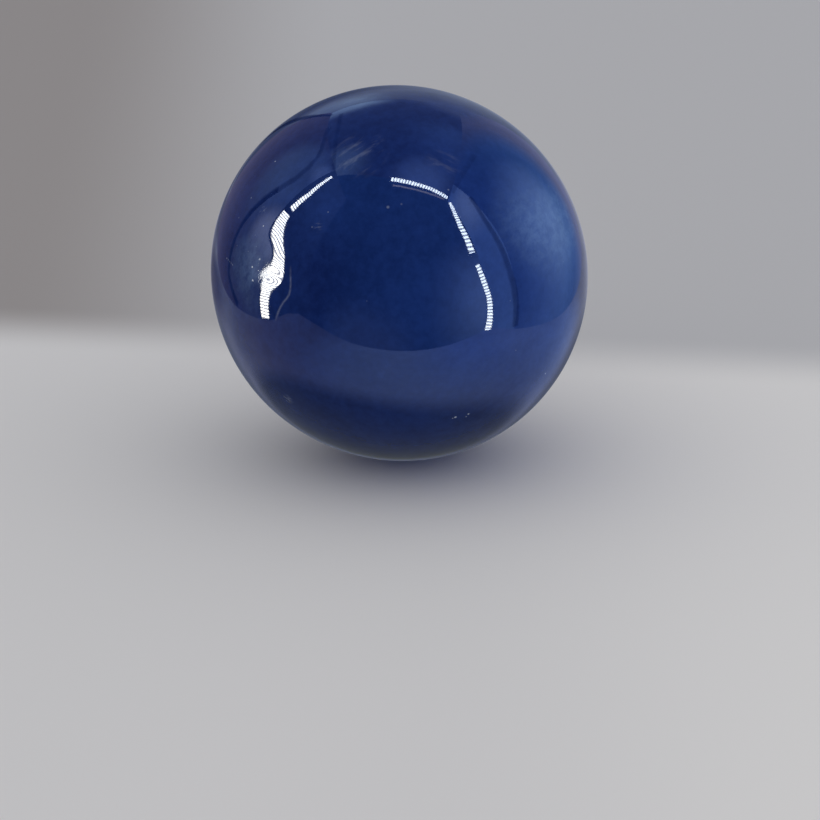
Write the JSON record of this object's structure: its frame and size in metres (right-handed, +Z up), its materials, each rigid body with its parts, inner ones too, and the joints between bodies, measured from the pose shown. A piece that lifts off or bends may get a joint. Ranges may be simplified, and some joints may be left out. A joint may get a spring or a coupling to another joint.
{
  "type": "clay marble",
  "caption": "Glossy cobalt-glazed clay marble, hand rolled and slightly out of round, with one kiln contact mark.",
  "frame": {"origin": "centre of the ball", "axes": "+Z up, -Z towards the seat, -Y towards the front, with the kiln mark on the left front"},
  "size_m": [0.019, 0.019, 0.019],
  "materials": {
    "glaze": "glossy"
  },
  "bodies": {
    "root": {"marble": "glaze"}
  },
  "joints": []
}
